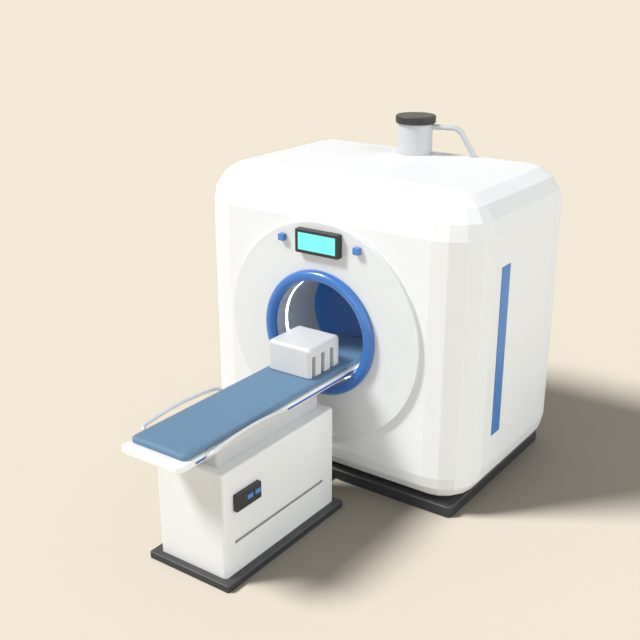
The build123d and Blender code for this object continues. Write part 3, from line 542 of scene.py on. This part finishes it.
liner_grey, tree, shader = open_finish("liner_grey", 0.36, per_metre=500.0, bump=0.04)
coloured(tree, shader, (0.46, 0.49, 0.53), amount=0.04)
dress(liner_grey, "entry_liner")

bore_blue, tree, shader = open_finish("bore_blue", 0.42, per_metre=500.0, bump=0.04)
coloured(tree, shader, (0.055, 0.26, 0.66), amount=0.05)
dress(bore_blue, "bore_tube")

runner_grey, tree, shader = open_finish("runner_plastic", 0.5, per_metre=420.0, bump=0.08)
coloured(tree, shader, (0.30, 0.33, 0.37), amount=0.06)
dress(runner_grey, "bore_runner_right", "bore_runner_left")

lit_ring, tree, shader = open_finish("light_white", 0.5, per_metre=300.0, bump=0.02)
coloured(tree, shader, (0.9, 0.93, 0.97), amount=0.03)
glow = place_group(tree, drift, {"Color": tinted(RING_GLOW), "Per Metre": 7.0, "Amount": 0.12})
tree.links.new(glow.outputs["Color"], shader.inputs["Emission Color"])
shader.inputs["Emission Strength"].default_value = RING_GLOW_STRENGTH
dress(lit_ring, "light_ring")

# %% [markdown]
# ### Dark pieces
# The plinth and the table's plate are powder-coated steel with a coarse orange-peel texture, dusty on top
# and rubbed along the edges. The display's housing and the control panel are fine matt plastic. The
# screen is glass over a plain cyan light, so it has a low roughness and a glow.

# %% Dark finishes
BASE_DARK = (0.023, 0.025, 0.029)
BASE_RUBBED = (0.16, 0.16, 0.165)

base_coat, tree, shader = open_finish(
    "base_dark", 0.55, spread=0.15, per_metre=260.0, bump=0.25, depth=0.0008
)
coloured(tree, shader, BASE_DARK, amount=0.12, rubbed=BASE_RUBBED, reach=0.005, dusty=0.12)
dress(base_coat, "gantry_plinth", "table_plate", "docking_beam")

cap_dark, tree, shader = open_finish("cap_dark", 0.5, per_metre=500.0, bump=0.12)
coloured(tree, shader, (0.024, 0.025, 0.028), amount=0.1, rubbed=(0.15, 0.15, 0.155), dusty=0.08)
dress(cap_dark, "turret_cap")

display_dark, tree, shader = open_finish("display_dark", 0.42, per_metre=1100.0, bump=0.1)
coloured(tree, shader, (0.021, 0.022, 0.025), amount=0.1, rubbed=(0.1, 0.1, 0.105), reach=0.002)
dress(display_dark, "display_housing", "control_panel")

# %% Lit screen
SCREEN_CYAN = (0.22, 1.0, 1.0)
SCREEN_STRENGTH = 0.95

screen_lit, tree, shader = open_finish("screen_cyan", 0.12, spread=0.03, per_metre=60.0, bump=0.005)
coloured(tree, shader, (0.02, 0.12, 0.14), amount=0.05)
glow = place_group(tree, drift, {"Color": tinted(SCREEN_CYAN), "Per Metre": 5.0, "Amount": 0.10})
tree.links.new(glow.outputs["Color"], shader.inputs["Emission Color"])
shader.inputs["Emission Strength"].default_value = SCREEN_STRENGTH
dress(screen_lit, "display_screen")

# %% [markdown]
# ### Turret, pipe and the hidden works
# On top stand the painted turret and a satin metal pipe. Magnet, coils and drive are hidden in use, but
# they show at some poses and when a cover is taken off, so they get plain honest finishes too.

# %% Turret, pipe and grommet
PIPE_METALLIC = 0.15
BARE_METAL = 1.0

turret_paint, tree, shader = open_finish("turret_white", 0.36, per_metre=320.0, bump=0.06)
coloured(tree, shader, (0.57, 0.585, 0.60), amount=0.03, rubbed=(0.5, 0.5, 0.51))
dress(turret_paint, "turret")

pipe_metal, tree, shader = open_finish("pipe_metal", 0.34, spread=0.12, per_metre=240.0, bump=0.03)
coloured(tree, shader, (0.50, 0.51, 0.53), amount=0.05)
shader.inputs["Metallic"].default_value = PIPE_METALLIC
dress(pipe_metal, "helium_pipe")

grommet_rubber, tree, shader = open_finish("grommet_rubber", 0.65, per_metre=600.0, bump=0.1)
coloured(tree, shader, (0.45, 0.46, 0.47), amount=0.06, dusty=0.1)
dress(grommet_rubber, "pipe_grommet")

# %% Magnet, coils and drive
vessel_steel, tree, shader = open_finish("vessel_steel", 0.38, spread=0.2, per_metre=160.0, bump=0.06)
coloured(tree, shader, (0.52, 0.53, 0.54), amount=0.1)
shader.inputs["Metallic"].default_value = BARE_METAL
dress(vessel_steel, "magnet_vessel", "drive_pinion", "drive_rack")

saddle_paint, tree, shader = open_finish("saddle_paint", 0.5, per_metre=260.0, bump=0.15)
coloured(tree, shader, (0.13, 0.135, 0.145), amount=0.08, rubbed=(0.3, 0.3, 0.3), dusty=0.1)
dress(saddle_paint, "vessel_saddle_right", "vessel_saddle_left", "support_column", "drive_motor")

resin_cast, tree, shader = open_finish("gradient_resin", 0.35, per_metre=200.0, bump=0.1)
coloured(tree, shader, (0.28, 0.22, 0.12), amount=0.15)
dress(resin_cast, "gradient_coil", "body_coil")

block_alloy, tree, shader = open_finish("block_alloy", 0.35, per_metre=300.0, bump=0.08)
coloured(tree, shader, (0.62, 0.63, 0.65), amount=0.06)
shader.inputs["Metallic"].default_value = BARE_METAL
dress(block_alloy, "pinion_bearing")

roller_grey, tree, shader = open_finish("roller_plastic", 0.5, per_metre=420.0, bump=0.1)
coloured(tree, shader, (0.21, 0.225, 0.25), amount=0.06)
dress(roller_grey, "roller_axle_front", "roller_axle_rear")

# %% [markdown]
# ## Flat facets
# The covers are faceted, but an imported solid comes with normals that smooth its facets into one round.
# Three modifiers mend that. A Weld joins the vertices along each edge, an Edge Split parts the mesh again
# wherever it turns by more than a few degrees, and a Weighted Normal modifier gives each flat facet its
# own normal.

# %% Keep the covers' facets flat
WELD_REACH = 0.00002
FACET_TURN = 8


def keep_facets(names, angle):
    """Show every facet that turns by more than the angle as a flat one."""
    for name in names:
        weld = nodes[name].modifiers.new("join_edges", "WELD")
        weld.merge_threshold = WELD_REACH
        parted = nodes[name].modifiers.new("part_facets", "EDGE_SPLIT")
        parted.split_angle = math.radians(angle)
        nodes[name].modifiers.new("flat_normals", "WEIGHTED_NORMAL")
    print("flat facets on", ", ".join(names))


keep_facets(["front_cover", "rear_cover", "left_cover", "right_cover"], FACET_TURN)

# %% [markdown]
# ## Mattress
# The solid mattress is a plain block. A real one is foam in a wipe-clean vinyl cover, full on top and
# drawn in along its foot. So the block is copied, made a little smaller, remeshed into even squares and
# blown up for a few frames as a closed cloth. Its underside is pinned to the tabletop, no point may
# travel far, and nothing may rise above the solid's top, where the head coil rests.

# %% Copy the block and remesh it
PAD_DRAWN_IN = 0.003
PAD_SQUARE = 0.009
PAD_EVENING = 0.5
PAD_EVENING_ROUNDS = 2


def settle(piece):
    """Turn the piece's modifiers into its mesh."""
    shape = bpy.data.meshes.new_from_object(piece.evaluated_get(bpy.context.evaluated_depsgraph_get()))
    piece.modifiers.clear()
    piece.data = shape


block = nodes["mattress"]
block_low, block_high = (Vector(corner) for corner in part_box("mattress"))
block_size = block_high - block_low
seat = Vector(((block_low.x + block_high.x) / 2, (block_low.y + block_high.y) / 2, block_low.z))
smaller = Matrix.Diagonal(
    (
        1 - 2 * PAD_DRAWN_IN / block_size.x,
        1 - 2 * PAD_DRAWN_IN / block_size.y,
        1 - PAD_DRAWN_IN / block_size.z,
        1,
    )
)
pad_mesh = block.data.copy()
pad_mesh.transform(Matrix.Translation(seat) @ smaller @ Matrix.Translation(-seat) @ block.matrix_world)
pad = bpy.data.objects.new("mattress_pad", pad_mesh)
bpy.context.scene.collection.objects.link(pad)
squares = pad.modifiers.new("even_squares", "REMESH")
squares.mode = "VOXEL"
squares.voxel_size = PAD_SQUARE
evened = pad.modifiers.new("evened", "SMOOTH")
evened.factor = PAD_EVENING
evened.iterations = PAD_EVENING_ROUNDS
settle(pad)
print("mattress:", len(pad.data.polygons), "squares")

# %% Blow it up as cloth
PAD_PRESSURE = 4.0
PAD_FRAMES = 20
PAD_UNDERSIDE = 0.004

start = [vertex.co.copy() for vertex in pad.data.vertices]
underside = pad.vertex_groups.new(name="underside")
underside.add([i for i, co in enumerate(start) if co.z < block_low.z + PAD_UNDERSIDE], 1.0, "REPLACE")
swell = pad.modifiers.new("swell", "CLOTH")
swell.settings.use_pressure = True
swell.settings.uniform_pressure_force = PAD_PRESSURE
swell.settings.effector_weights.gravity = 0
swell.settings.vertex_group_mass = "underside"
swell.point_cache.frame_end = PAD_FRAMES
for step in range(1, PAD_FRAMES + 1):
    bpy.context.scene.frame_set(step)
settle(pad)
bpy.context.scene.frame_set(1)
print("mattress: blown up for", PAD_FRAMES, "frames")

# %% Hold the cloth to the solid's outline and smooth it
PAD_TRAVEL = 0.004
PAD_UNEVEN = 0.0005
PAD_UNEVEN_PER_METRE = 7.0
PAD_HALVINGS = 1

for vertex, begin in zip(pad.data.vertices, start):
    travel = vertex.co - begin
    if travel.length > PAD_TRAVEL:
        travel *= PAD_TRAVEL / travel.length
    point = begin + travel
    uneven = noise.noise(point * PAD_UNEVEN_PER_METRE) * PAD_UNEVEN
    point.z = max(block_low.z, min(point.z, block_high.z - PAD_UNEVEN) + min(uneven, 0))
    vertex.co = point
pad.data.shade_smooth()
finer = pad.modifiers.new("finer", "SUBSURF")
finer.levels = PAD_HALVINGS
finer.render_levels = PAD_HALVINGS
print("mattress: swell held to", PAD_TRAVEL * 1000, "mm")

# %% Vinyl cover of the mattress
vinyl, tree, shader = open_finish("mattress_blue", 0.6, spread=0.12, per_metre=900.0, bump=0.12, depth=0.0006)
coloured(tree, shader, (0.113, 0.210, 0.322), amount=0.05)
pad.data.materials.clear()
pad.data.materials.append(vinyl)
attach(pad, "sliding_top")
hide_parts("mattress")
print("mattress:", [round(size * 1000) for size in pad.dimensions], "mm")
